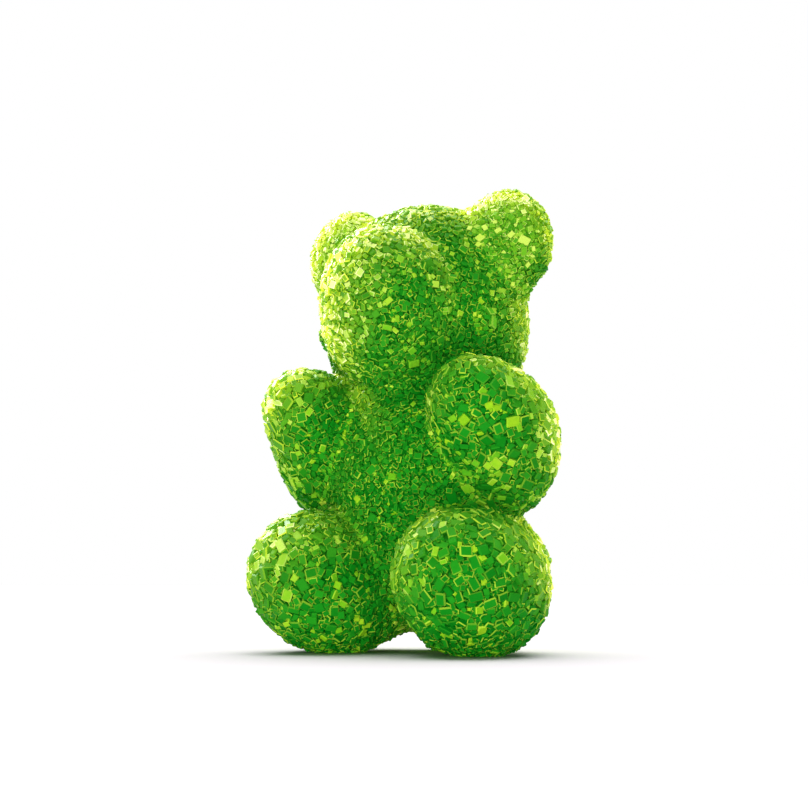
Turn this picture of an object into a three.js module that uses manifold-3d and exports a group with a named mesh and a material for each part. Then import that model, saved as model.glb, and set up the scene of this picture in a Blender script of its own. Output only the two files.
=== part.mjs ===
// A sugared gummy bear: one soft candy solid with its largest sugar crystals fused on.
// Millimetres, +Z up. The bear faces -Y and its left side is at +X. It stands on both
// feet and its rump, and the origin is on the table under the middle of its outline.
import * as THREE from 'three';
import { mergeVertices } from 'three/addons/utils/BufferGeometryUtils.js';
import Module from 'manifold-3d';

const wasm = await Module();
wasm.setup();

// The body's middle stands this far behind the middle of the whole outline,
// because the muzzle and the feet reach forward.
const bodySetback = 1.48;
// The mould leaves the back nearly flat, this far behind the body's middle.
const backDepth = 4.4;
const backRounding = 1.6;

// The sugar: the bare candy lies this far under the outline that the sugar reaches.
const sugarDepth = 0.2;
// Fine grains, too small to cut one by one, show as a rough skin of this height.
const grainRelief = 0.1;
// Near the table the rough skin is pressed smooth up to this height.
const pressedHeight = 0.5;

// The largest crystals, flat cuboids, and how they lie on the candy.
const crystalLength = 0.74;
const crystalWidth = 0.56;
const crystalThickness = 0.5;
const crystalSizeSpread = 0.16;
const crystalCount = 165;
const crystalSpacing = 1.7;
const crystalTilt = THREE.MathUtils.degToRad(16);
const crystalStandOff = 0.04;
// Over a crystal the candy falls away for this far, so none is wedged into a crease.
const crystalHeadroom = 1.2;
const openShare = 0.85;

// The skin's facets are about this wide. The grid that they are made on reaches
// this many facets to each side, forward, back, down and up from the origin.
const facetSize = 0.7;
const gridReach = { side: 13, front: 13, back: 9, down: 2, up: 33 };
const seed = 20417;

// The plane that presses the feet flat is the top of a block of this size.
const tableSize = 40;

// One rounded lobe of the body. The centre and the three half widths are in
// millimetres, from the body's middle plane. Lift raises the lobe's front end and
// splay turns the front end outward, both in degrees.
function lobe(centre, radii, lift = 0, splay = 0) {
  const middle = new THREE.Vector3(...centre);
  const turn = new THREE.Matrix4().makeRotationZ(THREE.MathUtils.degToRad(splay));
  turn.multiply(new THREE.Matrix4().makeRotationX(THREE.MathUtils.degToRad(-lift)));
  const back = turn.invert();
  const local = new THREE.Vector3();
  return (point) => {
    local.copy(point).sub(middle).applyMatrix4(back);
    const near = Math.hypot(local.x / radii[0], local.y / radii[1], local.z / radii[2]);
    const slope = Math.hypot(
      local.x / radii[0] ** 2,
      local.y / radii[1] ** 2,
      local.z / radii[2] ** 2,
    );
    return (near * (near - 1)) / Math.max(slope, 1e-9);
  };
}

// Two forms run into each other over a seam of the given width.
function melt(first, second, seam) {
  const overlap = Math.max(seam - Math.abs(first - second), 0) / seam;
  return Math.min(first, second) - overlap * overlap * seam * 0.25;
}

// The lobes. Those off the middle plane stand for a pair, one on each side.
const torso = lobe([0, -0.2, 8.2], [4.9, 4.0, 7.0]);
const rump = lobe([0, 2.55, 2.72], [2.1, 1.9, 3.1]);
const hip = lobe([2.9, 0.8, 3.7], [3.0, 3.0, 3.0]);
const leg = lobe([3.8, -2.5, 3.24], [3.45, 4.5, 3.3], 18, 6);
const forearm = lobe([4.4, -2.35, 10.75], [2.5, 3.5, 2.3], 30, 6);
const elbow = lobe([4.6, -0.8, 9.5], [2.55, 2.7, 3.3]);
const skull = lobe([0, 0.1, 17.0], [4.9, 4.1, 4.55]);
const jaw = lobe([0, 0.2, 14.5], [4.75, 4.1, 3.9]);
const muzzle = lobe([0, -3.8, 17.0], [2.7, 2.9, 2.8]);
const chin = lobe([0, -2.8, 15.0], [3.2, 2.95, 2.8]);
const ear = lobe([4.3, 0.3, 19.3], [2.3, 1.9, 2.6]);
const eye = lobe([4.15, -1.95, 15.2], [0.6, 0.65, 0.8]);

// How wide the crease is where each form runs into the next.
const seams = {
  rump: 1.2,
  hip: 1.0,
  leg: 0.8,
  arm: 0.7,
  elbow: 1.6,
  neck: 0.6,
  jaw: 2.0,
  ear: 0.9,
  snout: 2.5,
  muzzle: 0.5,
  eye: 0.3,
};

const mirrored = new THREE.Vector3();

// Signed distance from the outline that the sugar reaches, negative inside.
function outline(point) {
  const p = mirrored.set(Math.abs(point.x), point.y, point.z);
  let body = melt(torso(p), rump(p), seams.rump);
  body = melt(body, hip(p), seams.hip);
  body = melt(body, leg(p), seams.leg);
  const snout = melt(muzzle(p), chin(p), seams.snout);
  let head = melt(skull(p), jaw(p), seams.jaw);
  head = melt(head, ear(p), seams.ear);
  head = melt(head, snout, seams.muzzle);
  head = melt(head, eye(p), seams.eye);
  const arm = melt(forearm(p), elbow(p), seams.elbow);
  body = melt(melt(body, head, seams.neck), arm, seams.arm);
  return -melt(-body, backDepth - p.y, backRounding);
}

// Signed distance from the bare candy.
function candy(point) {
  return outline(point) + sugarDepth;
}

// The direction in which a distance grows fastest, of length one.
function outward(distance, point) {
  const step = 0.02;
  const probe = new THREE.Vector3();
  const slope = ['x', 'y', 'z'].map((axis) => {
    probe.copy(point)[axis] += step;
    const ahead = distance(probe);
    probe.copy(point)[axis] -= step;
    return ahead - distance(probe);
  });
  return new THREE.Vector3(...slope).normalize();
}

// A repeatable row of numbers between 0 and 1.
function numberRow(start) {
  let state = start;
  return () => {
    state = (state + 0x6d2b79f5) | 0;
    let mixed = Math.imul(state ^ (state >>> 15), 1 | state);
    mixed = (mixed + Math.imul(mixed ^ (mixed >>> 7), 61 | mixed)) ^ mixed;
    return ((mixed ^ (mixed >>> 14)) >>> 0) / 2 ** 32;
  };
}

// Wraps the zero surface of a distance in four-sided facets: each cell of a grid that
// the surface passes through gets one point, and each grid edge that the surface
// cuts gets one facet between the points of the four cells around it.
function wrapSurface(distance, low, high, cell) {
  const count = ['x', 'y', 'z'].map((axis) => Math.ceil((high[axis] - low[axis]) / cell) + 1);
  const stride = [1, count[0], count[0] * count[1]];
  const corner = (at) => new THREE.Vector3(...at).multiplyScalar(cell).add(low);
  const values = new Float64Array(count[0] * count[1] * count[2]);
  const everyCorner = (visit) => {
    for (let k = 0; k < count[2]; k += 1) {
      for (let j = 0; j < count[1]; j += 1) {
        for (let i = 0; i < count[0]; i += 1) {
          visit([i, j, k], i * stride[0] + j * stride[1] + k * stride[2]);
        }
      }
    }
  };
  everyCorner((at, slot) => {
    values[slot] = distance(corner(at));
  });

  const points = [];
  const pointOfCell = new Map();
  everyCorner((at, slot) => {
    if (at.some((place, axis) => place >= count[axis] - 1)) {
      return;
    }
    const sum = new THREE.Vector3();
    let crossings = 0;
    for (let axis = 0; axis < 3; axis += 1) {
      const across = [(axis + 1) % 3, (axis + 2) % 3];
      for (let edge = 0; edge < 4; edge += 1) {
        const from = [...at];
        from[across[0]] += edge & 1;
        from[across[1]] += edge >> 1;
        const first = from[0] * stride[0] + from[1] * stride[1] + from[2] * stride[2];
        const before = values[first];
        const after = values[first + stride[axis]];
        if (before < 0 !== after < 0) {
          from[axis] += before / (before - after);
          sum.add(corner(from));
          crossings += 1;
        }
      }
    }
    if (crossings > 0) {
      pointOfCell.set(slot, points.length);
      points.push(sum.divideScalar(crossings));
    }
  });

  const triangles = [];
  everyCorner((at, slot) => {
    for (let axis = 0; axis < 3; axis += 1) {
      const after = values[slot + stride[axis]];
      if (at[axis] < count[axis] - 1 && values[slot] < 0 !== after < 0) {
        const [one, two] = [stride[(axis + 1) % 3], stride[(axis + 2) % 3]];
        const ring = [slot - one - two, slot - two, slot, slot - one];
        const facet = ring.map((where) => pointOfCell.get(where));
        if (values[slot] >= 0) {
          facet.reverse();
        }
        const [a, b, c, d] = facet;
        if (points[a].distanceTo(points[c]) < points[b].distanceTo(points[d])) {
          triangles.push(a, b, c, a, c, d);
        } else {
          triangles.push(b, c, d, b, d, a);
        }
      }
    }
  });
  return { points, triangles };
}

// A closed mesh made ready to be joined or cut.
function solidOf(vertProperties, triVerts) {
  return new wasm.Manifold(new wasm.Mesh({ numProp: 3, vertProperties, triVerts }));
}

// A geometry made ready to be joined or cut.
function solidOfGeometry(geometry) {
  geometry.deleteAttribute('normal');
  geometry.deleteAttribute('uv');
  const merged = mergeVertices(geometry, 1e-5);
  return solidOf(
    new Float32Array(merged.attributes.position.array),
    new Uint32Array(merged.index.array),
  );
}

// The bare candy's skin, with its rough fine sugar.
function roughSkin(random) {
  const low = new THREE.Vector3(-gridReach.side, -gridReach.front, -gridReach.down);
  const high = new THREE.Vector3(gridReach.side, gridReach.back, gridReach.up);
  low.multiplyScalar(facetSize);
  high.multiplyScalar(facetSize);
  const skin = wrapSurface(candy, low, high, facetSize);
  skin.points.forEach((point) => {
    point.addScaledVector(outward(candy, point), -candy(point));
    const free = THREE.MathUtils.smoothstep(point.z, 0, pressedHeight);
    point.addScaledVector(outward(candy, point), (random() * 2 - 1) * grainRelief * free);
  });
  return skin;
}

// True where nothing else of the bear closes over a point of its skin.
function lieOpen(point) {
  const above = point.clone().addScaledVector(outward(candy, point), crystalHeadroom);
  return candy(above) > crystalHeadroom * openShare;
}

// Points of the skin for the crystals, at least one spacing apart, in a mixed order.
function crystalPoints(points, random) {
  const order = points.map((point) => ({ point, rank: random() }));
  order.sort((first, second) => first.rank - second.rank);
  const chosen = [];
  for (const { point } of order) {
    const clear = chosen.every((other) => other.distanceTo(point) > crystalSpacing);
    if (clear && chosen.length < crystalCount && lieOpen(point)) {
      chosen.push(point);
    }
  }
  return chosen;
}

// One crystal, lying nearly flat on the candy at a point.
function crystal(point, random) {
  const size = () => 1 + (random() * 2 - 1) * crystalSizeSpread;
  const box = new THREE.BoxGeometry(
    crystalLength * size(),
    crystalWidth * size(),
    crystalThickness * size(),
  );
  const up = outward(candy, point);
  box.rotateZ(random() * Math.PI);
  box.rotateX((random() * 2 - 1) * crystalTilt);
  box.rotateY((random() * 2 - 1) * crystalTilt);
  const stand = new THREE.Quaternion().setFromUnitVectors(new THREE.Vector3(0, 0, 1), up);
  box.applyQuaternion(stand);
  box.translate(...point.clone().addScaledVector(up, crystalStandOff));
  return solidOfGeometry(box);
}

// The whole bear: the rough skin, the crystals, and the table's plane that presses
// its feet and rump flat.
function bearSolid() {
  const random = numberRow(seed);
  const skin = roughSkin(random);
  const places = skin.points.flatMap((point) => point.toArray());
  let bear = solidOf(new Float32Array(places), new Uint32Array(skin.triangles));
  crystalPoints(skin.points, random).forEach((point) => {
    bear = bear.add(crystal(point, random));
  });
  const table = new THREE.BoxGeometry(tableSize, tableSize, tableSize);
  table.translate(0, 0, -tableSize / 2);
  return bear.subtract(solidOfGeometry(table));
}

// A geometry from a joined or cut solid.
function geometryOf(solid) {
  const mesh = solid.getMesh();
  const geometry = new THREE.BufferGeometry();
  geometry.setAttribute('position', new THREE.BufferAttribute(mesh.vertProperties, mesh.numProp));
  geometry.setIndex(new THREE.BufferAttribute(mesh.triVerts, 1));
  geometry.computeVertexNormals();
  return geometry;
}

const sugaredJelly = new THREE.MeshStandardMaterial({
  color: new THREE.Color(0.2, 0.5, 0.05),
  roughness: 0.45,
  metalness: 0,
});

const gummyBear = new THREE.Mesh(geometryOf(bearSolid()), sugaredJelly);
gummyBear.name = 'gummy_bear';
gummyBear.position.y = bodySetback;

const group = new THREE.Group();
group.add(gummyBear);

export default group;
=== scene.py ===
"""A green gummy bear under a dense coat of clear sugar crystals.

The jelly is one smooth form of lobes that run into each other. Its sugar is five kinds of
crystal, each kind one joined mesh, settled on the jelly largest first. Sizes inside the classes
are in millimetres and angles in degrees, and the finished meshes are in metres.
"""

import logging
import math
from dataclasses import dataclass, field
from enum import Enum
from typing import Optional, Union

import bmesh
import bpy
import numpy as np
from mathutils import Euler, Matrix, Vector, kdtree


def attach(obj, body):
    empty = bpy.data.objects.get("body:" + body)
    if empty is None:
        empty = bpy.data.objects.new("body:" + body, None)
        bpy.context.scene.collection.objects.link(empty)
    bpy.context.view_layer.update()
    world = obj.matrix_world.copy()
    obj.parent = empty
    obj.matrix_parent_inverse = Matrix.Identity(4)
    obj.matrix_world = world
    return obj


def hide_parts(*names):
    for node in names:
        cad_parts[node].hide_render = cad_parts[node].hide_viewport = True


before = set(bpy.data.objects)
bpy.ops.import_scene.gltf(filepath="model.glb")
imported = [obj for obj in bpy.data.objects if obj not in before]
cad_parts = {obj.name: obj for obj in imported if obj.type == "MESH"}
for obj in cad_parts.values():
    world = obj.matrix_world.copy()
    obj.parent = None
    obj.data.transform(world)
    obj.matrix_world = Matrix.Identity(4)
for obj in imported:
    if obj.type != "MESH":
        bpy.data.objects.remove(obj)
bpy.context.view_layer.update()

METRES_PER_MM = 0.001
BODY = "root"
CAD_NODE = "gummy_bear"
EXPORT_MAP = "OFBake"

# What the meshes carry: the colour's place in the palette, which holds some painted light
# and shade, the painted highlight on cut edges, the direction out of the lobe, the painted
# glow when seen edge on and from every side, and the painted shade of the crystals' sides.
TONE = "tone"
# Painted highlight on the crystals' cut edges.
PAINTED_CUT_HIGHLIGHT = "painted_cut_highlight"
OUTWARD = "outward"
# Painted glow, colour standing in for light through the sugar: edge on, and from every side.
PAINTED_RIM_GLOW = "painted_rim_glow"
PAINTED_GLOW = "painted_glow"
# Painted shade on the crystals' upright sides.
PAINTED_SIDE_SHADE = "painted_side_shade"

# Below this a length counts as nothing, so that nothing is divided by 0.
TINY = 1e-9

# How many times the usual share of bright crystals lies on these lobes.
BRIGHTER = {"torso": 0.4, "jaw": 0.6, "muzzle": 2.0, "chin": 1.8, "elbow": 3.5}

log = logging.getLogger("gummy_bear")

Triple = tuple[float, float, float]
Number = Union[float, "Signal"]


# Shader nodes


@dataclass(frozen=True)
class Signal:
    """A number given off by a node, which Python's operators work on."""

    bench: "Bench"
    socket: bpy.types.NodeSocket

    def _math(self, operation: str, left: Number, right: Number) -> "Signal":
        """Adds one Math node.

        Args:
            operation: The node's operation.
            left: Its first value.
            right: Its second value.

        Returns:
            The number that the node gives.
        """
        node = self.bench.add("ShaderNodeMath", {"operation": operation}, {0: left, 1: right})
        return Signal(self.bench, node.outputs[0])

    def __add__(self, other: Number) -> "Signal":
        """Gives the sum."""
        return self._math("ADD", self, other)

    def __radd__(self, other: Number) -> "Signal":
        """Gives the sum with a plain number first."""
        return self._math("ADD", other, self)

    def __sub__(self, other: Number) -> "Signal":
        """Gives the difference."""
        return self._math("SUBTRACT", self, other)

    def __rsub__(self, other: Number) -> "Signal":
        """Gives the difference with a plain number first."""
        return self._math("SUBTRACT", other, self)

    def __mul__(self, other: Number) -> "Signal":
        """Gives the product."""
        return self._math("MULTIPLY", self, other)

    def __rmul__(self, other: Number) -> "Signal":
        """Gives the product with a plain number first."""
        return self._math("MULTIPLY", other, self)

    def __pow__(self, other: Number) -> "Signal":
        """Gives the power."""
        return self._math("POWER", self, other)


class Bench:
    """Adds nodes to one material or to the world."""

    def __init__(self, owner: Union[bpy.types.Material, bpy.types.World]) -> None:
        """Starts an empty tree.

        Args:
            owner: The material or world.
        """
        owner.use_nodes = True
        self.owner = owner
        self.tree = owner.node_tree
        self.tree.nodes.clear()

    @staticmethod
    def of_material(name: str) -> "Bench":
        """Starts a new material with an empty tree."""
        return Bench(bpy.data.materials.new(name))

    def add(
        self, kind: str, settings: Optional[dict] = None, inputs: Optional[dict] = None
    ) -> bpy.types.Node:
        """Adds one node.

        Args:
            kind: The node's type.
            settings: Its own settings, where "stops" are a ramp's places and colours.
            inputs: Values, sockets or signals, by the name or number of the input.

        Returns:
            The node.
        """
        node = self.tree.nodes.new(kind)
        for key, value in (settings or {}).items():
            if key == "stops":
                self._set_stops(node.color_ramp, value)
            else:
                setattr(node, key, value)
        for key, value in (inputs or {}).items():
            if isinstance(value, Signal):
                self.tree.links.new(value.socket, node.inputs[key])
            elif isinstance(value, bpy.types.NodeSocket):
                self.tree.links.new(value, node.inputs[key])
            else:
                node.inputs[key].default_value = value
        return node

    @staticmethod
    def _set_stops(ramp: bpy.types.ColorRamp, stops: list) -> None:
        """Sets a ramp's stops.

        Args:
            ramp: The ramp, which comes with two stops.
            stops: Pairs of a place and a colour, in order.
        """
        while len(ramp.elements) < len(stops):
            ramp.elements.new(1.0)
        for element, (place, colour) in zip(ramp.elements, stops):
            element.position = place
            element.color = (*colour, 1.0)

    def attribute(self, name: str) -> Signal:
        """Reads a number that the mesh carries."""
        node = self.add("ShaderNodeAttribute", {"attribute_name": name})
        return Signal(self, node.outputs["Fac"])

    def noise(self, grain_mm: float, detail: float = 2.0) -> Signal:
        """Gives soft noise fixed to the object.

        Args:
            grain_mm: The size of its grains.
            detail: How many finer layers it has.

        Returns:
            A number round one half.
        """
        place = self.add("ShaderNodeTexCoord").outputs["Object"]
        scale = 1.0 / (grain_mm * METRES_PER_MM)
        node = self.add(
            "ShaderNodeTexNoise",
            inputs={"Vector": place, "Scale": scale, "Detail": detail},
        )
        return Signal(self, node.outputs["Fac"])

    def skimmed(self, outward: str) -> Signal:
        """Gives how far a lobe is seen along itself, 0 straight on and 1 edge on.

        Args:
            outward: The direction out of the lobe, as the mesh carries it.

        Returns:
            The number.
        """
        carried = self.add("ShaderNodeAttribute", {"attribute_name": outward})
        turned = self.add(
            "ShaderNodeVectorTransform",
            {"vector_type": "NORMAL", "convert_from": "OBJECT", "convert_to": "WORLD"},
            {"Vector": carried.outputs["Vector"]},
        )
        node = self.add(
            "ShaderNodeLayerWeight", inputs={"Blend": 0.5, "Normal": turned.outputs["Vector"]}
        )
        return Signal(self, node.outputs["Facing"])

    def ramp(self, place: Signal, stops: list) -> bpy.types.NodeSocket:
        """Turns a number into a colour.

        Args:
            place: The number.
            stops: Pairs of a place and a colour, in order.

        Returns:
            The colour.
        """
        node = self.add("ShaderNodeValToRGB", {"stops": stops}, {"Fac": place})
        return node.outputs["Color"]

    def mix(
        self, share: Number, first: bpy.types.NodeSocket, second: Triple
    ) -> bpy.types.NodeSocket:
        """Mixes two colours.

        The node's colour sockets are numbered here, because its sockets share their names.

        Args:
            share: How much of the second colour.
            first: The first colour.
            second: The second colour.

        Returns:
            The mixed colour.
        """
        node = self.add(
            "ShaderNodeMix",
            {"data_type": "RGBA", "clamp_factor": True},
            {0: share, 6: first, 7: (*second, 1.0)},
        )
        return node.outputs[2]

    def shader(self, inputs: dict) -> bpy.types.NodeSocket:
        """Adds a surface shader with these values and links."""
        return self.add("ShaderNodeBsdfPrincipled", inputs=inputs).outputs["BSDF"]

    def finish(self, surface: bpy.types.NodeSocket) -> bpy.types.Material:
        """Closes the tree and gives the material."""
        self.add("ShaderNodeOutputMaterial", inputs={"Surface": surface})
        return self.owner

    def sheened(
        self, body: bpy.types.NodeSocket, sheen: bpy.types.NodeSocket, share: Signal
    ) -> bpy.types.NodeSocket:
        """Lays a sheen over a surface.

        Args:
            body: The surface's own shader.
            sheen: The sheen's shader.
            share: How much of the sheen shows.

        Returns:
            The joined shader.
        """
        node = self.add("ShaderNodeMixShader", inputs={0: share, 1: body, 2: sheen})
        return node.outputs[0]


# Finishes


@dataclass(frozen=True)
class Sheen:
    """The painted glow of light that skims the sugar, a lime to nearly white colour mixed in.

    It fades by the power fall from edge on to straight on, and is painted stronger along cut
    edges than within the faces.
    """

    # Colours of the painted glow, from its faint to its brightest.
    low: Triple = (0.140, 0.380, 0.008)
    middle: Triple = (0.380, 0.580, 0.012)
    high: Triple = (0.640, 0.760, 0.024)
    top: Triple = (0.930, 0.970, 0.460)
    fall: float = 2.5
    within: float = 0.75
    along_edges: float = 1.5
    roughness: float = 0.4
    gloss: float = 0.4

    def over(
        self,
        bench: Bench,
        colour: bpy.types.NodeSocket,
        tone: Signal,
        edge: Number,
        roughness: float,
        gloss: float,
    ) -> bpy.types.Material:
        """Makes a material of a colour with this painted sheen over it.

        Args:
            bench: Where its nodes are.
            colour: The surface's own colour.
            tone: The surface's own tone, which the sheen keeps.
            edge: How much painted highlight of a cut edge it has.
            roughness: The surface's own roughness.
            gloss: How much it reflects straight on.

        Returns:
            The material.
        """
        body = bench.shader(
            {"Base Color": colour, "Roughness": roughness, "Specular IOR Level": gloss}
        )
        stops = [(0.0, self.low), (0.25, self.middle), (0.65, self.high), (1.0, self.top)]
        glow = bench.shader(
            {
                "Base Color": bench.ramp(tone, stops),
                "Roughness": self.roughness,
                "Specular IOR Level": self.gloss,
            }
        )
        # How much painted glow shows: the painted rim glow edge on, the painted glow from every
        # side, more on cut edges.
        share = bench.attribute(PAINTED_RIM_GLOW) * bench.skimmed(OUTWARD) ** self.fall
        share = share + bench.attribute(PAINTED_GLOW)
        share = share * (self.within + (self.along_edges - self.within) * edge)
        return bench.finish(bench.sheened(body, glow, share))


@dataclass(frozen=True)
class JellyFinish:
    """Green jelly under sugar dust, deep where it is thick and paler in thin parts.

    The paleness is partly the jelly's own colour and partly painted light shining through.
    """

    name: str = "green_jelly"
    deep: Triple = (0.004, 0.150, 0.006)
    middle: Triple = (0.010, 0.212, 0.009)
    pale: Triple = (0.090, 0.380, 0.010)
    mottle_mm: float = 0.5
    mottle: float = 0.35
    roughness: float = 0.5
    gloss: float = 0.05
    sheen: Sheen = Sheen()

    def material(self) -> bpy.types.Material:
        """Makes the material."""
        bench = Bench.of_material(self.name)
        # The tone is the thinness: paler thin parts, partly painted light shining through.
        thin = bench.attribute(TONE)
        place = thin + self.mottle * (bench.noise(self.mottle_mm) - 0.5)
        colour = bench.ramp(place, [(0.0, self.deep), (0.45, self.middle), (1.0, self.pale)])
        return self.sheen.over(bench, colour, place, 0.0, self.roughness, self.gloss)


@dataclass(frozen=True)
class SugarFinish:
    """Clear sugar on green jelly: every crystal has its own tone, and its cut edges carry a
    painted highlight and its upright sides a painted shade.
    """

    name: str
    # How much of the painted highlight colour covers cut edges, and how far they lift the painted
    # glow.
    painted_edge_share: float = 0.8
    painted_edge_lift: float = 0.5
    dark: Triple = (0.002, 0.150, 0.005)
    bottle: Triple = (0.005, 0.185, 0.007)
    green: Triple = (0.009, 0.215, 0.008)
    grass: Triple = (0.018, 0.260, 0.009)
    leaf: Triple = (0.042, 0.300, 0.009)
    bright: Triple = (0.120, 0.380, 0.008)
    lime: Triple = (0.238, 0.470, 0.009)
    pale: Triple = (0.400, 0.600, 0.035)
    # The colour of the painted highlight on cut edges.
    edge: Triple = (0.400, 0.600, 0.035)
    mottle_mm: float = 0.18
    mottle: float = 0.12
    roughness: float = 0.4
    gloss: float = 0.02
    sheen: Sheen = Sheen()

    def material(self) -> bpy.types.Material:
        """Makes the material."""
        bench = Bench.of_material(self.name)
        tone = bench.attribute(TONE) + self.mottle * (bench.noise(self.mottle_mm) - 0.5)
        stops = [
            (0.0, self.dark),
            (0.15, self.bottle),
            (0.3, self.green),
            (0.45, self.grass),
            (0.6, self.leaf),
            (0.72, self.bright),
            (0.85, self.lime),
            (1.0, self.pale),
        ]
        edge = bench.attribute(PAINTED_CUT_HIGHLIGHT)
        # Upright sides darker by their painted shade.
        tone = tone + bench.attribute(PAINTED_SIDE_SHADE)
        colour = bench.mix(self.painted_edge_share * edge, bench.ramp(tone, stops), self.edge)
        lifted = tone + self.painted_edge_lift * edge
        return self.sheen.over(bench, colour, lifted, edge, self.roughness, self.gloss)


# Objects and what their meshes carry


def placed(name: str, data: bpy.types.ID) -> bpy.types.Object:
    """Puts a mesh, a light or a camera in the scene.

    Args:
        name: What the object is called.
        data: The mesh, light or camera.

    Returns:
        The object.
    """
    thing = bpy.data.objects.new(name, data)
    bpy.context.scene.collection.objects.link(thing)
    return thing


def turn_for(back: Vector) -> Euler:
    """Gives the turn that sets the back of a light or camera to a direction."""
    return back.to_track_quat("Z", "Y").to_euler()


def carry(mesh: bpy.types.Mesh, name: str, domain: str, values: np.ndarray) -> None:
    """Lets a mesh carry numbers or directions that its material reads.

    Args:
        mesh: The mesh.
        name: What they are called.
        domain: Which of its elements carry them, "POINT" or "FACE".
        values: One number, or a direction as a row, for each of those elements.
    """
    kind, key = ("FLOAT", "value") if values.ndim == 1 else ("FLOAT_VECTOR", "vector")
    layer = mesh.attributes.new(name, kind, domain)
    layer.data.foreach_set(key, values.astype(np.float32).ravel())


# The jelly


@dataclass(frozen=True)
class Lobe:
    """One rounded lobe of the bear, tipped back at its front end and splayed outwards.

    Four numbers set how much painted glow its sugar carries, colour standing in for light.
    The painted rim glow shows wherever the lobe is seen edge on, and the painted edge light
    only on the window's side. The painted glow is that side's painted light seen from
    everywhere, and through is painted glow over the whole lobe.
    """

    name: str
    centre: Triple
    radii: Triple
    lift: float = 0.0
    splay: float = 0.0
    painted_rim_glow: float = 0.5
    painted_glow: float = 0.0
    through: float = 0.0
    edge: float = 0.0

    def turn(self) -> np.ndarray:
        """Gives the lobe's rotation."""
        splay = Matrix.Rotation(math.radians(self.splay), 3, "Z")
        lift = Matrix.Rotation(math.radians(-self.lift), 3, "X")
        return np.array(splay @ lift)

    def distance(self, points: np.ndarray) -> np.ndarray:
        """Measures how far points are outside the lobe.

        Args:
            points: Places, one row each.

        Returns:
            The distances, below 0 inside.
        """
        radii = np.array(self.radii)
        local = (points - np.array(self.centre)) @ self.turn()
        near = np.linalg.norm(local / radii, axis=1)
        slope = np.linalg.norm(local / radii**2, axis=1)
        return near * (near - 1.0) / np.maximum(slope, TINY)


def heading(azimuth: float, rise: float) -> np.ndarray:
    """Gives a direction.

    Args:
        azimuth: Degrees round from the way the bear faces towards its left.
        rise: Degrees above level.

    Returns:
        The direction, of length 1.
    """
    turn, lift = math.radians(azimuth), math.radians(rise)
    level = math.cos(lift)
    return np.array([math.sin(turn) * level, -math.cos(turn) * level, math.sin(lift)])


def melt(first: np.ndarray, second: np.ndarray, seam: float) -> np.ndarray:
    """Runs two forms into each other.

    Args:
        first: Distances to the first form.
        second: Distances to the second.
        seam: The width over which they run together.

    Returns:
        Distances to the joined form.
    """
    over = np.maximum(seam - np.abs(first - second), 0.0) / seam
    return np.minimum(first, second) - over**2 * seam / 4


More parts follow.
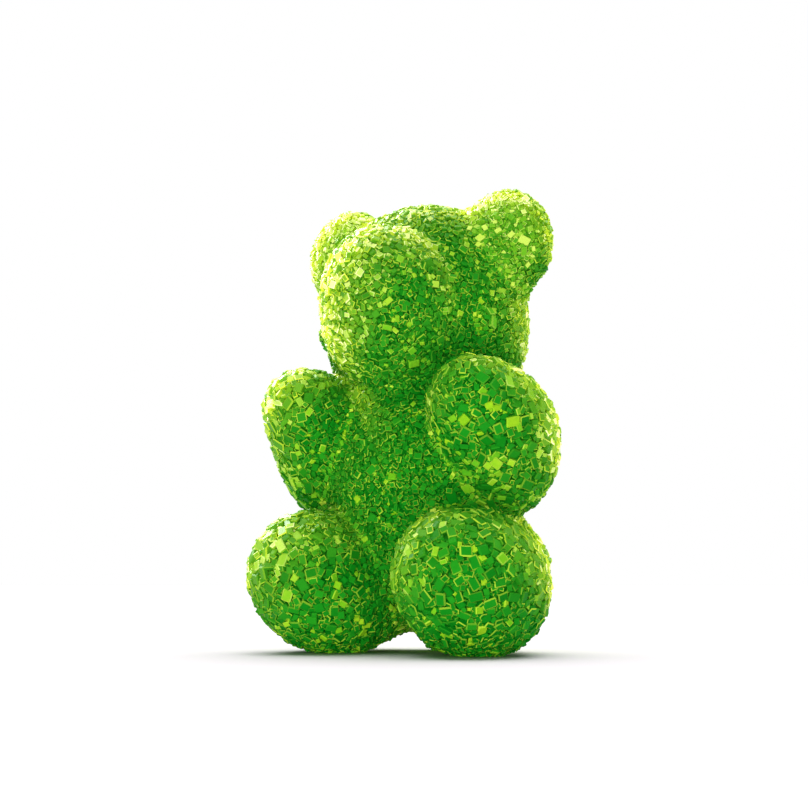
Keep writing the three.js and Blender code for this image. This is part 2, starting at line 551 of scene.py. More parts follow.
@dataclass(frozen=True)
class BearForm:
    """The moulded form: lobes and the seams where they meet, mirrored from side to side.

    Lobes are measured from the bear's own middle, which the setback puts behind the origin,
    and their outline is the one that the sugar reaches. The window is a painted light on the
    bear's right, with no lamp there. Its painted light wraps a little way round the lobes, fades
    over window_depth to the other side, and throws painted soft shadows.
    """

    torso: Lobe = Lobe("torso", (0, -0.2, 8.2), (4.9, 4.0, 7.0), painted_rim_glow=0.8, edge=16.0)
    rump: Lobe = Lobe("rump", (0, 2.55, 2.72), (2.1, 1.9, 3.1))
    hip: Lobe = Lobe("hip", (2.9, 0.8, 3.7), (3, 3, 3), painted_rim_glow=3.5, through=0.6)
    leg: Lobe = Lobe(
        "leg", (3.8, -2.5, 3.24), (3.45, 4.5, 3.3), lift=18, splay=6, painted_rim_glow=1.6, painted_glow=0.4
    )
    forearm: Lobe = Lobe(
        "forearm",
        (4.4, -2.35, 10.75),
        (2.5, 3.5, 2.3),
        lift=30,
        splay=6,
        painted_rim_glow=1.9,
        painted_glow=0.8,
        edge=9.0,
    )
    elbow: Lobe = Lobe("elbow", (4.6, -0.8, 9.5), (2.55, 2.7, 3.3), painted_rim_glow=5.0, through=0.05)
    skull: Lobe = Lobe("skull", (0, 0.1, 17.0), (4.9, 4.1, 4.55), painted_rim_glow=2.8, painted_glow=0.05)
    jaw: Lobe = Lobe("jaw", (0, 0.2, 14.5), (4.75, 4.1, 3.9), painted_rim_glow=5.2)
    muzzle: Lobe = Lobe("muzzle", (0, -3.8, 17.0), (2.7, 2.9, 2.8), painted_rim_glow=1.8, painted_glow=1.6, edge=1.2)
    chin: Lobe = Lobe("chin", (0, -2.8, 15.0), (3.2, 2.95, 2.8), painted_rim_glow=0.8, painted_glow=3.2, through=0.05)
    ear: Lobe = Lobe("ear", (4.3, 0.3, 19.3), (2.3, 1.9, 2.6), painted_rim_glow=7.0, painted_glow=0.3, through=0.15)
    eye: Lobe = Lobe("eye", (4.15, -1.95, 15.2), (0.6, 0.65, 0.8), painted_rim_glow=0.2, painted_glow=0.1)
    rump_seam: float = 1.2
    hip_seam: float = 1.0
    leg_seam: float = 0.8
    arm_seam: float = 0.7
    elbow_seam: float = 1.6
    neck_seam: float = 0.6
    jaw_seam: float = 2.0
    ear_seam: float = 0.9
    snout_seam: float = 2.5
    muzzle_seam: float = 0.5
    eye_seam: float = 0.3
    back_depth: float = 4.4
    back_rounding: float = 1.6
    setback: float = 1.48
    sugar_depth: float = 0.2
    probe: float = 0.02
    thin_probe: float = 2.0
    thin_from: float = 0.85
    thin_span: float = 0.22
    crease_reach: float = 2.0
    open_reach: float = 5.0
    shade_below: float = 2.2
    lobe_blend: float = 0.35
    # Where the window's painted light comes from, and how its painted shadows fall.
    window_azimuth: float = -75.0
    window_rise: float = 45.0
    window_wrap: float = 0.4
    window_depth: float = 8.0
    window_middle: float = 0.5
    window_rim_loss: float = 0.5
    window_softness: float = 0.3
    shadow_near: float = 0.8
    shadow_far: float = 12.0
    shadow_steps: int = 12

    def lobes(self) -> list[Lobe]:
        """Lists the lobes of the shown half."""
        return [
            self.torso,
            self.rump,
            self.hip,
            self.leg,
            self.forearm,
            self.elbow,
            self.skull,
            self.jaw,
            self.muzzle,
            self.chin,
            self.ear,
            self.eye,
        ]

    def folded(self, points: np.ndarray) -> np.ndarray:
        """Takes places to the lobes' own frame, folded over to one side."""
        local = points - np.array([0.0, self.setback, 0.0])
        local[:, 0] = np.abs(local[:, 0])
        return local

    def distance(self, points: np.ndarray) -> np.ndarray:
        """Measures how far points are outside the bare jelly.

        Args:
            points: Places in the row frame, one row each.

        Returns:
            The distances, below 0 inside.
        """
        local = self.folded(points)
        body = melt(self.torso.distance(local), self.rump.distance(local), self.rump_seam)
        body = melt(body, self.hip.distance(local), self.hip_seam)
        body = melt(body, self.leg.distance(local), self.leg_seam)
        snout = melt(self.muzzle.distance(local), self.chin.distance(local), self.snout_seam)
        head = melt(self.skull.distance(local), self.jaw.distance(local), self.jaw_seam)
        head = melt(head, self.ear.distance(local), self.ear_seam)
        head = melt(head, snout, self.muzzle_seam)
        head = melt(head, self.eye.distance(local), self.eye_seam)
        arm = melt(self.forearm.distance(local), self.elbow.distance(local), self.elbow_seam)
        body = melt(melt(body, head, self.neck_seam), arm, self.arm_seam)
        whole = -melt(-body, self.back_depth - local[:, 1], self.back_rounding)
        return whole + self.sugar_depth

    def outward(self, points: np.ndarray) -> np.ndarray:
        """Gives the direction straight out of the form at each point."""
        found = np.empty_like(points)
        for axis in range(3):
            step = np.zeros(3)
            step[axis] = self.probe
            found[:, axis] = self.distance(points + step) - self.distance(points - step)
        return found / np.maximum(np.linalg.norm(found, axis=1, keepdims=True), TINY)

    def thinness(self, points: np.ndarray, outward: np.ndarray) -> np.ndarray:
        """Tells how thin the jelly is under each point.

        Args:
            points: Places on the skin.
            outward: The directions out of it.

        Returns:
            Numbers from 0, where it is thick, to 1, where it is thinnest.
        """
        depth = -self.distance(points - self.thin_probe * outward) / self.thin_probe
        return np.clip((self.thin_from - depth) / self.thin_span, 0, 1)

    def openness(self, points: np.ndarray, outward: np.ndarray, reach: float) -> np.ndarray:
        """Tells how clear of other lobes each point is.

        Args:
            points: Places on the skin.
            outward: The directions out of it.
            reach: How far out to look.

        Returns:
            Numbers from 0, deep in a crease, to 1, in the open.
        """
        return np.clip(self.distance(points + reach * outward) / reach, 0, 1)

    def crease(self, points: np.ndarray, outward: np.ndarray) -> np.ndarray:
        """Tells how deep in a crease each point is.

        Args:
            points: Places on the skin.
            outward: The directions out of it.

        Returns:
            Numbers from 0, on the open skin, to 1, deep in a crease.
        """
        return 1.0 - self.openness(points, outward, self.crease_reach)

    def skylight(self, points: np.ndarray, outward: np.ndarray) -> np.ndarray:
        """Gives the painted room light at each point, with painted shade underneath and in
        creases.

        Args:
            points: Places on the skin.
            outward: The directions out of it.

        Returns:
            Numbers from 0, in creases and underneath, to 1, in the open.
        """
        above = np.clip(1.0 + self.shade_below * outward[:, 2], 0, 1)
        return above * self.openness(points, outward, self.open_reach)

    def window_light(self, points: np.ndarray, outward: np.ndarray) -> np.ndarray:
        """Tells how much painted light from the window side lies on the sugar, with painted
        shadows.

        Args:
            points: Places on the skin.
            outward: The directions out of it.

        Returns:
            Numbers from 0, turned away or in painted shadow, to 1, facing the window.
        """
        window = heading(self.window_azimuth, self.window_rise)
        lit = np.clip((outward @ window + self.window_wrap) / (1 + self.window_wrap), 0, 1)
        nearer = points @ heading(self.window_azimuth, 0) / self.window_depth
        lit *= np.clip(self.window_middle + nearer, 0, 1)
        start = points + self.window_softness * outward
        for far in np.linspace(self.shadow_near, self.shadow_far, self.shadow_steps):
            room = self.distance(start + far * window) / (self.window_softness * far)
            lit = np.minimum(lit, np.clip(room, 0, 1))
        return lit

    def blended(self, points: np.ndarray, values: list[float]) -> np.ndarray:
        """Gives each point its lobe's value, blended where lobes meet.

        Args:
            points: Places on the skin.
            values: One value for each lobe.

        Returns:
            The values.
        """
        local = self.folded(points)
        far = np.array([lobe.distance(local) for lobe in self.lobes()])
        weight = np.exp((far.min(axis=0) - far) / self.lobe_blend)
        return np.array(values) @ weight / weight.sum(axis=0)

    def glow(self, points: np.ndarray, outward: np.ndarray) -> tuple[np.ndarray, np.ndarray]:
        """Tells how strongly the painted glow lies on the sugar at each point.

        Args:
            points: Places on the skin.
            outward: The directions out of it.

        Returns:
            The painted glow when seen edge on, and the painted glow from everywhere.
        """
        lobes = self.lobes()
        painted_rim_glow = self.blended(points, [lobe.painted_rim_glow for lobe in lobes])
        painted_glow = self.blended(points, [lobe.painted_glow for lobe in lobes])
        through = self.blended(points, [lobe.through for lobe in lobes])
        edge = self.blended(points, [lobe.edge for lobe in lobes])
        # The painted rim glow is weaker facing the window; painted window light and painted room
        # light, with painted shade below and in creases, scale it.
        towards = np.clip(outward @ heading(self.window_azimuth, 0), 0, 1)
        painted_rim_glow = painted_rim_glow * (1 - self.window_rim_loss * towards)
        window = self.window_light(points, outward)
        skimmed = (painted_rim_glow + edge * window) * self.skylight(points, outward)
        return skimmed, painted_glow * window + through

    def by_lobe(self, points: np.ndarray, named: dict[str, float]) -> np.ndarray:
        """Gives each point the value of the lobe that it lies on.

        Args:
            points: Places on the skin.
            named: Values by the lobes' names, where the others have 1.

        Returns:
            The values.
        """
        local = self.folded(points)
        nearest = np.argmin([lobe.distance(local) for lobe in self.lobes()], axis=0)
        return np.array([named.get(lobe.name, 1.0) for lobe in self.lobes()])[nearest]


@dataclass
class JellyBody:
    """The jelly as one closed skin, pulled onto the form and flat where it stands."""

    form: BearForm
    finish: JellyFinish = JellyFinish()
    name: str = "jelly_core"
    voxel: float = 0.15
    sphere_cuts: int = 4
    pulls: int = 6
    points: np.ndarray = field(init=False)
    triangles: np.ndarray = field(init=False)

    def rough_skin(self) -> bpy.types.Mesh:
        """Makes the lobes as ellipsoids and closes them into one skin.

        Returns:
            The remeshed skin, in millimetres.
        """
        build = bmesh.new()
        for lobe in self.form.lobes():
            for side in (1, -1):
                shape = Matrix.Translation((0, self.form.setback, 0))
                shape @= Matrix.Scale(side, 4, (1, 0, 0))
                shape @= Matrix.Translation(lobe.centre)
                shape @= Matrix(lobe.turn().tolist()).to_4x4()
                shape @= Matrix.Diagonal((*lobe.radii, 1.0))
                bmesh.ops.create_icosphere(
                    build, subdivisions=self.sphere_cuts, radius=1.0, matrix=shape
                )
        bmesh.ops.recalc_face_normals(build, faces=build.faces)
        lobes = bpy.data.meshes.new("lobes")
        build.to_mesh(lobes)
        build.free()
        holder = placed("lobes", lobes)
        remesh = holder.modifiers.new("skin", "REMESH")
        remesh.mode = "VOXEL"
        remesh.voxel_size = self.voxel
        view = bpy.context.evaluated_depsgraph_get()
        skin = bpy.data.meshes.new_from_object(holder.evaluated_get(view))
        bpy.data.objects.remove(holder)
        return skin

    def build(self) -> bpy.types.Object:
        """Makes the finished piece.

        Returns:
            The object, in metres.
        """
        skin = self.rough_skin()
        points = np.empty(len(skin.vertices) * 3)
        skin.vertices.foreach_get("co", points)
        points = points.reshape(-1, 3)
        for _ in range(self.pulls):
            points -= self.form.distance(points)[:, None] * self.form.outward(points)
        points[:, 2] = np.maximum(points[:, 2], 0.0)
        skin.vertices.foreach_set("co", (points * METRES_PER_MM).ravel())
        outward = self.form.outward(points)
        painted_rim_glow, painted_glow = self.form.glow(points, outward)
        # The jelly's tone is its thinness: paler where thin, partly painted light shining
        # through.
        carry(skin, TONE, "POINT", self.form.thinness(points, outward))
        carry(skin, PAINTED_RIM_GLOW, "POINT", painted_rim_glow)
        carry(skin, PAINTED_GLOW, "POINT", painted_glow)
        carry(skin, OUTWARD, "POINT", outward)
        skin.update()
        skin.calc_loop_triangles()
        triangles = np.empty(len(skin.loop_triangles) * 3, np.int32)
        skin.loop_triangles.foreach_get("vertices", triangles)
        self.points = points
        self.triangles = triangles.reshape(-1, 3)
        skin.shade_smooth()
        skin.name = self.name
        skin.materials.append(self.finish.material())
        return placed(self.name, skin)

    def scatter(self, count: int, rng: np.random.Generator) -> np.ndarray:
        """Draws places evenly over the skin.

        Args:
            count: How many.
            rng: The seeded source of chance.

        Returns:
            The places, one row each.
        """
        corners = self.points[self.triangles]
        across = np.cross(corners[:, 1] - corners[:, 0], corners[:, 2] - corners[:, 0])
        area = np.linalg.norm(across, axis=1)
        drawn = rng.choice(len(area), count, p=area / area.sum())
        first, second = rng.random((2, count, 1))
        over = first + second > 1.0
        first, second = np.where(over, 1 - first, first), np.where(over, 1 - second, second)
        corner = corners[drawn]
        return (
            corner[:, 0]
            + first * (corner[:, 1] - corner[:, 0])
            + second * (corner[:, 2] - corner[:, 0])
        )


# The sugar


class Cut(Enum):
    """Which edges of a crystal are cut off."""

    NONE = "none"
    TOP = "top"
    ALL = "all"


@dataclass(frozen=True)
class CrystalKind:
    """One kind of crystal.

    Places are drawn on the skin as often as tries says. A place is kept if it is above the
    lowest height, and as far from the others as spacing says and from larger crystals as
    clear says, until the most that may settle have settled. The likes say how densely each
    lobe is covered, and brighter how many times its share of bright crystals is. A higher
    painted_edge_fall leaves fewer of the cut edges with a painted highlight.
    """

    name: str
    cut: Cut
    tries: int
    spacing: float
    clear: float
    most: int
    length: tuple[float, float]
    width: tuple[float, float]
    thickness: tuple[float, float]
    proud: tuple[float, float]
    tilt: float
    chamfer: float
    bright_share: float
    painted_edge_fall: float
    lowest: float
    finish: SugarFinish
    likes: dict[str, float] = field(default_factory=dict)
    brighter: dict[str, float] = field(default_factory=dict)


@dataclass(frozen=True)
class Template:
    """A cuboid with its edges cut, as corners that follow any size.

    Each corner has the signs of its side of the cuboid, and is drawn in by the chamfer on the
    axes where cuts is 1.
    """

    signs: np.ndarray
    cuts: np.ndarray
    faces: list
    is_cut: np.ndarray
    is_side: np.ndarray

    @staticmethod
    def of(cut: Cut) -> "Template":
        """Makes the template of one cut.

        Args:
            cut: Which edges are cut off.

        Returns:
            The template.
        """
        cut_depth = 0.25
        nearly_one = 0.99
        build = bmesh.new()
        bmesh.ops.create_cube(build, size=2.0)
        if cut is Cut.ALL:
            edges = list(build.edges)
        elif cut is Cut.TOP:
            edges = [e for e in build.edges if all(v.co.z > 0 for v in e.verts)]
        else:
            edges = []
        if edges:
            bmesh.ops.bevel(
                build,
                geom=edges,
                offset=cut_depth,
                segments=1,
                profile=0.5,
                affect="EDGES",
                material=-1,
            )
        build.normal_update()
        build.verts.index_update()
        corners = np.array([v.co for v in build.verts])
        faces = [[v.index for v in f.verts] for f in build.faces]
        slanted = np.array([max(abs(x) for x in f.normal) < nearly_one for f in build.faces])
        across = [max(abs(f.normal.x), abs(f.normal.y)) for f in build.faces]
        build.free()
        upright = np.array(across) > nearly_one
        cuts = (np.abs(corners) < nearly_one) * 1.0
        return Template(np.sign(corners), cuts, faces, slanted, upright)


@dataclass
class SugarCoat:
    """All the sugar: kinds of crystal settled on the jelly, each kind one joined mesh.

    On the export map each crystal has a square, with its whole faces round one centre and
    its cut faces round another, in shares of the square.
    """

    form: BearForm
    jelly: JellyBody
    kinds: list[CrystalKind]
    seed: int = 20417
    skew: float = 0.10
    chamfer_spread: tuple[float, float] = (0.75, 1.25)
    # Tone added in thin parts: partly the jelly's own paler colour, partly painted light shining
    # through.
    lit_by_thin: float = 0.5
    # Painted shade: tone taken off deep in creases.
    crease_painted_shade: float = 0.12
    # More bright crystals where the painted glow lies, a painted light.
    bright_in_glow: float = 0.3
    # Painted shade: cut-edge highlight taken off deep in creases.
    edge_crease_painted_shade: float = 0.7
    # How much darker the crystals' upright sides are painted, a painted shade.
    side_painted_shade_drop: float = 0.2
    plain: tuple[float, float] = (0.0, 0.38)
    bright: tuple[float, float] = (0.68, 0.9)
    whole_centre: tuple[float, float] = (0.28, 0.5)
    whole_reach: float = 0.24
    cut_centre: tuple[float, float] = (0.76, 0.5)
    cut_reach: float = 0.2
    taken: list = field(default_factory=list)

    def settle(self, kind: CrystalKind, rng: np.random.Generator) -> np.ndarray:
        """Finds places for one kind, clear of each other and of larger crystals.

        Args:
            kind: The kind of crystal.
            rng: The seeded source of chance.

        Returns:
            The places, one row each.
        """
        points = self.jelly.scatter(kind.tries, rng)
        apart = kind.spacing / np.sqrt(self.form.by_lobe(points, kind.likes))
        free = points[:, 2] > kind.lowest
        tree = kdtree.KDTree(len(points))
        for index, point in enumerate(points):
            tree.insert(point, index)
        tree.balance()
        for places, reach in self.taken:
            for place, far in zip(places, reach):
                for _, index, _ in tree.find_range(place, far + kind.clear):
                    free[index] = False
        kept = []
        for index, point in enumerate(points):
            if free[index]:
                kept.append(index)
                for _, other, _ in tree.find_range(point, apart[index]):
                    free[other] = False
        return points[kept[: kind.most]]

    def frames(
        self, kind: CrystalKind, places: np.ndarray, rng: np.random.Generator
    ) -> tuple[np.ndarray, np.ndarray]:
        """Turns each crystal to lie on the jelly, spun and a little tipped.

        Args:
            kind: The kind of crystal.
            places: Where they lie.
            rng: The seeded source of chance.

        Returns:
            The directions out of the jelly, and each crystal's three axes as rows.
        """
        outward = self.form.outward(places)
        tip = rng.normal(0.0, math.radians(kind.tilt), outward.shape)
        up = outward + tip
        up /= np.linalg.norm(up, axis=1, keepdims=True)
        along = np.cross(up, rng.normal(size=up.shape))
        along /= np.linalg.norm(along, axis=1, keepdims=True)
        return outward, np.stack([along, np.cross(up, along), up], axis=1)

    def tones(
        self,
        kind: CrystalKind,
        places: np.ndarray,
        outward: np.ndarray,
        painted_glow: np.ndarray,
        rng: np.random.Generator,
    ) -> np.ndarray:
        """Gives each crystal its tone: most are the jelly's green, and some are bright.

        Thin parts and the painted glow get painted light, and creases painted shade.

        Args:
            kind: The kind of crystal.
            places: Where they lie.
            outward: The directions out of the jelly.
            painted_glow: How much painted glow lies there.
            rng: The seeded source of chance.

        Returns:
            The tones, from 0, dark, to 1, lime.
        """
        count = len(places)
        share = kind.bright_share * self.form.by_lobe(places, kind.brighter)
        # More bright crystals under the painted glow.
        share += self.bright_in_glow * painted_glow
        plain = rng.uniform(*self.plain, count)
        bright = rng.uniform(*self.bright, count)
        tone = np.where(rng.random(count) < share, bright, plain)
        # Paler in thin parts, partly painted light shining through.
        tone += self.lit_by_thin * self.form.thinness(places, outward)
        # Painted shade in creases.
        tone -= self.crease_painted_shade * self.form.crease(places, outward)
        return np.clip(tone, 0, 1)

    def join(
        self, kind: CrystalKind, places: np.ndarray, rng: np.random.Generator
    ) -> bpy.types.Object:
        """Makes one kind's crystals as one mesh.

        Args:
            kind: The kind of crystal.
            places: Where they lie.
            rng: The seeded source of chance.

        Returns:
            The object, in metres.
        """
        template = Template.of(kind.cut)
        count = len(places)
        outward, axes = self.frames(kind, places, rng)
        half = 0.5 * np.stack(
            [rng.uniform(*span, count) for span in (kind.length, kind.width, kind.thickness)],
            axis=1,
        )
        chamfer = kind.chamfer * rng.uniform(*self.chamfer_spread, (count, 1, 1))
        corners = template.signs[None] * (half[:, None] - chamfer * template.cuts[None])
        lean = rng.uniform(-self.skew, self.skew, (count, 1))
        corners[:, :, 0] += lean * corners[:, :, 1]
        proud = rng.uniform(*kind.proud, count)
        middle = places + outward * (proud - half[:, 2])[:, None]
        corners = np.einsum("nij,njk->nik", corners, axes) + middle[:, None]
        corners[:, :, 2] = np.maximum(corners[:, :, 2], 0.0)
        self.taken.append((places, half[:, :2].mean(axis=1)))
        painted_rim_glow, painted_glow = self.form.glow(places, outward)
        # Painted shade on the cut-edge highlights deep in creases.
        kept = 1 - self.edge_crease_painted_shade * self.form.crease(places, outward)
        looks = {
            TONE: self.tones(kind, places, outward, painted_glow, rng),
            PAINTED_CUT_HIGHLIGHT: rng.random(count) ** kind.painted_edge_fall * kept,
            OUTWARD: outward,
            PAINTED_RIM_GLOW: painted_rim_glow,
            PAINTED_GLOW: painted_glow,
        }
        return self.mesh(kind, template, corners, looks)

    def mesh(
        self, kind: CrystalKind, template: Template, corners: np.ndarray, looks: dict
    ) -> bpy.types.Object:
        """Writes the joined mesh with its looks and its map for export.

        Args:
            kind: The kind of crystal.
            template: The crystal that each of them follows.
            corners: Every crystal's corners.
            looks: What every crystal carries, by the attributes' names.

        Returns:
            The object, in metres.
        """
        count, per = corners.shape[:2]
        sizes = np.array([len(face) for face in template.faces])
        loops = np.concatenate(template.faces)
        every = (loops[None] + per * np.arange(count)[:, None]).ravel()
        totals = np.tile(sizes, count)
        mesh = bpy.data.meshes.new(kind.name)
        mesh.vertices.add(count * per)
        mesh.vertices.foreach_set("co", (corners * METRES_PER_MM).ravel())
        mesh.loops.add(len(every))
        mesh.loops.foreach_set("vertex_index", every.astype(np.int32))
        mesh.polygons.add(len(totals))
        starts = np.concatenate([[0], np.cumsum(totals)[:-1]])
        mesh.polygons.foreach_set("loop_start", starts.astype(np.int32))
        mesh.update(calc_edges=True)
        mesh.shade_flat()
        for name in (TONE, PAINTED_RIM_GLOW, PAINTED_GLOW, OUTWARD):
            carry(mesh, name, "FACE", np.repeat(looks[name], len(sizes), axis=0))
        carry(mesh, PAINTED_CUT_HIGHLIGHT, "FACE", (looks[PAINTED_CUT_HIGHLIGHT][:, None] * template.is_cut).ravel())
        # Upright sides get the painted shade.
        carry(mesh, PAINTED_SIDE_SHADE, "FACE", np.tile(-self.side_painted_shade_drop * template.is_side, count))
        self.lay_out(mesh, template, count)
        mesh.materials.append(kind.finish.material())
        return placed(kind.name, mesh)

    def lay_out(self, mesh: bpy.types.Mesh, template: Template, count: int) -> None:
        """Gives each crystal its own square of the map, with its cut faces beside the others.

        Args:
            mesh: The joined mesh.
            template: The crystal that each of them follows.
            count: How many crystals it has.
        """
        side = math.ceil(math.sqrt(count))
        cell = np.stack([np.arange(count) % side, np.arange(count) // side], axis=1) / side
        spots = []
        for face, cut in zip(template.faces, template.is_cut):
            turn = 2 * math.pi * (np.arange(len(face)) + 0.5) / len(face)
            round_face = np.stack([np.cos(turn), np.sin(turn)], axis=1)
            centre = self.cut_centre if cut else self.whole_centre
            reach = self.cut_reach if cut else self.whole_reach
            spots.append(np.array(centre) + reach * round_face)
        spots = np.concatenate(spots) / side
        uv = (cell[:, None] + spots[None]).reshape(-1, 2)
        layer = mesh.uv_layers.new(name=EXPORT_MAP, do_init=False)
        layer.uv.foreach_set("vector", uv.astype(np.float32).ravel())

    def build(self) -> list[bpy.types.Object]:
        """Makes every kind, largest first.

        Returns:
            One object for each kind.
        """
        rng = np.random.default_rng(self.seed)
        pieces = []
        for kind in self.kinds:
            places = self.settle(kind, rng)
            pieces.append(self.join(kind, places, rng))
            log.info("%s: %d crystals", kind.name, len(places))
        return pieces


def sugar_kinds() -> list[CrystalKind]:
    """Lists the kinds of crystal, largest first."""
    return [
        CrystalKind(
            name="coarse_sugar",
            cut=Cut.ALL,
            tries=20000,
            spacing=0.56,
            clear=0.0,
            most=2400,
            length=(0.46, 0.66),
            width=(0.34, 0.5),
            thickness=(0.24, 0.34),
            proud=(0.12, 0.25),
            tilt=9,
            chamfer=0.052,
            bright_share=0.1,
            painted_edge_fall=2.2,
            lowest=1.3,
            finish=SugarFinish("coarse_sugar_green"),
            likes={
                **dict.fromkeys(("torso", "skull", "jaw", "ear", "muzzle", "chin", "eye"), 0.02),
                "elbow": 0.5,
            },
            brighter=BRIGHTER,
        ),
        CrystalKind(
            name="medium_sugar",
            cut=Cut.TOP,
            tries=70000,
            spacing=0.33,
            clear=0.08,
            most=8000,
            length=(0.3, 0.44),
            width=(0.24, 0.34),
            thickness=(0.2, 0.3),
            proud=(0.1, 0.26),
            tilt=14,
            chamfer=0.04,
            bright_share=0.1,
            painted_edge_fall=2.2,
            lowest=0.7,
            finish=SugarFinish("medium_sugar_green"),
            likes={
                "torso": 0.1,
                "skull": 0.12,
                "jaw": 0.12,
                "ear": 0.05,
                "muzzle": 0.25,
                "chin": 0.3,
                "eye": 0.1,
                "elbow": 0.6,
            },
            brighter=BRIGHTER,
        ),
        CrystalKind(
            name="small_sugar",
            cut=Cut.TOP,
            tries=100000,
            spacing=0.24,
            clear=0.05,
            most=9600,
            length=(0.21, 0.32),
            width=(0.17, 0.25),
            thickness=(0.17, 0.26),
            proud=(0.08, 0.24),
            tilt=18,
            chamfer=0.03,
            bright_share=0.1,
            painted_edge_fall=1.8,
            lowest=0.2,
            finish=SugarFinish("small_sugar_green"),
            likes={"ear": 0.5, "torso": 0.6},
            brighter=BRIGHTER,
        ),
        CrystalKind(
            name="fine_sugar",
            cut=Cut.TOP,
            tries=140000,
            spacing=0.16,
            clear=0.03,
            most=9900,
            length=(0.15, 0.23),
            width=(0.12, 0.18),
            thickness=(0.15, 0.22),
            proud=(0.06, 0.2),
            tilt=25,
            chamfer=0.023,
            bright_share=0.09,
            painted_edge_fall=1.5,
            lowest=0.03,
            finish=SugarFinish("fine_sugar_green"),
            brighter=BRIGHTER,
        ),
        CrystalKind(
            name="sugar_grains",
            cut=Cut.NONE,
            tries=160000,
            spacing=0.11,
            clear=0.02,
            most=16500,
            length=(0.11, 0.17),
            width=(0.09, 0.13),
            thickness=(0.11, 0.18),
            proud=(0.04, 0.15),
            tilt=35,
            chamfer=0.0,
            bright_share=0.08,
            painted_edge_fall=1.0,
            lowest=0.03,
            finish=SugarFinish("sugar_grains_green"),
        ),
    ]


# The table, the lights and the camera


@dataclass(frozen=True)
class Softbox:
    """A square soft light aimed at the bear's middle, which gloss mirrors or not."""

    name: str
    azimuth: float
    elevation: float
    distance: float
    side: float
    glow: float
    mirrored: bool = True

    def build(self, target: Vector, lit: bpy.types.Collection) -> None:
        """Makes the light.

        Args:
            target: The point it is aimed at, in metres.
            lit: What it falls on.
        """
        light = bpy.data.lights.new(self.name, "AREA")
        light.shape = "SQUARE"
        light.size = self.side * METRES_PER_MM
        light.energy = self.glow * math.pi * light.size**2
        lamp = placed(self.name, light)
        away = Vector(heading(self.azimuth, self.elevation))
        lamp.location = target + away * self.distance * METRES_PER_MM
        lamp.rotation_euler = turn_for(away)
        lamp.visible_camera = False
        lamp.visible_glossy = self.mirrored
        lamp.light_linking.receiver_collection = lit
        lamp.light_linking.blocker_collection = lit


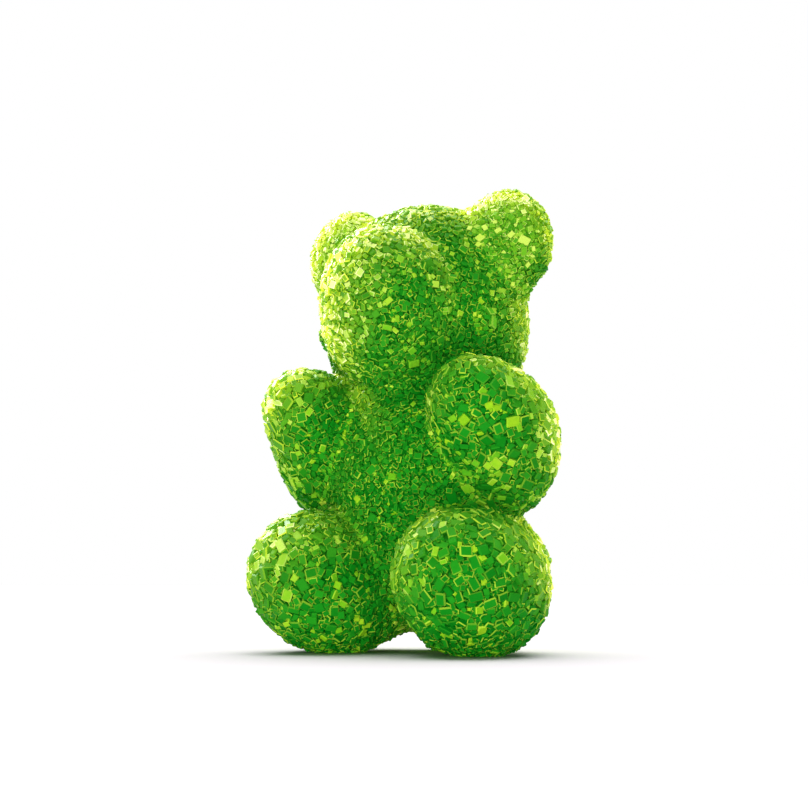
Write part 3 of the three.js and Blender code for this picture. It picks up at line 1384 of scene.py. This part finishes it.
@dataclass
class Studio:
    """A white table under soft light, and the camera that the photograph was taken from.

    The camera stands low, at a distance from the bear's own middle, which is set back from
    the origin, and a little aside of it.
    """

    setback: float
    table_reach: float = 3000.0
    table_white: Triple = (0.82, 0.78, 0.82)
    sky_light: float = 0.25
    sky_seen: float = 1.0
    sky_gloss: float = 0.05
    azimuth: float = 30.0
    distance: float = 72.0
    height: float = 3.16
    aside: float = 1.005
    pitch: float = 6.86
    lens: float = 67.04
    sensor: float = 36.0
    nearest_seen: float = 1.0
    farthest_seen: float = 10000.0
    aim: Triple = (0.0, 0.0, 11.0)
    lights: tuple[Softbox, ...] = (
        Softbox("upper_left", -104.0, 35.0, 120.0, 70.0, 19.0),
        Softbox("right", 150.0, 12.0, 120.0, 80.0, 8.4, mirrored=False),
        Softbox("front", 28.0, 4.0, 120.0, 36.0, 21.0, mirrored=False),
        Softbox("table_bounce", 5.0, -30.0, 45.0, 30.0, 3.4, mirrored=False),
    )
    sun_azimuth: float = 210.0
    sun_elevation: float = 78.0
    sun_strength: float = 3.8
    sun_width: float = 80.0

    def build(self, pieces: list[bpy.types.Object]) -> None:
        """Makes the table, the world, the lights and the camera.

        Args:
            pieces: The bear's pieces, which the soft boxes light.
        """
        self.table()
        world = bpy.data.worlds.new("studio")
        bench = Bench(world)
        path = bench.add("ShaderNodeLightPath")
        seen = Signal(bench, path.outputs["Is Camera Ray"])
        mirrored = Signal(bench, path.outputs["Is Glossy Ray"])
        strength = self.sky_light + (self.sky_seen - self.sky_light) * seen
        strength = strength + (self.sky_gloss - self.sky_light) * mirrored
        backdrop = bench.add(
            "ShaderNodeBackground", inputs={"Color": (1.0, 1.0, 1.0, 1.0), "Strength": strength}
        )
        bench.add("ShaderNodeOutputWorld", inputs={"Surface": backdrop.outputs["Background"]})
        bpy.context.scene.world = world
        bpy.context.scene.view_settings.view_transform = "Standard"
        target = Vector(self.aim) * METRES_PER_MM
        lit = bpy.data.collections.new("lit_by_softboxes")
        for piece in pieces:
            lit.objects.link(piece)
        for light in self.lights:
            light.build(target, lit)
        self.sun()
        self.camera()

    def sun(self) -> None:
        """Makes the broad light overhead."""
        light = bpy.data.lights.new("overhead", "SUN")
        light.energy = self.sun_strength
        light.angle = math.radians(self.sun_width)
        lamp = placed("overhead", light)
        lamp.rotation_euler = turn_for(Vector(heading(self.sun_azimuth, self.sun_elevation)))

    def table(self) -> None:
        """Makes the plain pale table."""
        build = bmesh.new()
        bmesh.ops.create_grid(
            build, x_segments=1, y_segments=1, size=self.table_reach * METRES_PER_MM
        )
        mesh = bpy.data.meshes.new("table_top")
        build.to_mesh(mesh)
        build.free()
        bench = Bench.of_material("white_table")
        surface = bench.shader(
            {
                "Base Color": (*self.table_white, 1.0),
                "Roughness": 1.0,
                "Specular IOR Level": 0.0,
            }
        )
        mesh.materials.append(bench.finish(surface))
        table = placed("table_top", mesh)

    def camera(self) -> None:
        """Makes the camera, low and a little to the bear's left."""
        back = Vector(heading(self.azimuth, 0))
        right = Vector(heading(self.azimuth + 90, 0))
        look = Vector(heading(self.azimuth + 180, self.pitch))
        place = back * self.distance - right * self.aside
        place += Vector((0.0, self.setback, self.height))
        data = bpy.data.cameras.new("camera")
        data.lens = self.lens
        data.sensor_width = self.sensor
        data.clip_start = self.nearest_seen * METRES_PER_MM
        data.clip_end = self.farthest_seen * METRES_PER_MM
        camera = placed("camera", data)
        camera.location = place * METRES_PER_MM
        camera.rotation_euler = turn_for(-look)
        bpy.context.scene.camera = camera


def main() -> None:
    """Builds the jelly, its sugar and the studio."""
    logging.basicConfig(level=logging.INFO, format="%(message)s")
    form = BearForm()
    jelly = JellyBody(form)
    core = jelly.build()
    log.info("%s: %d faces", core.name, len(core.data.polygons))
    pieces = [core, *SugarCoat(form, jelly, sugar_kinds()).build()]
    for piece in pieces:
        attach(piece, BODY)
    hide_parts(CAD_NODE)
    Studio(setback=form.setback).build(pieces)


if __name__ == "__main__":
    main()
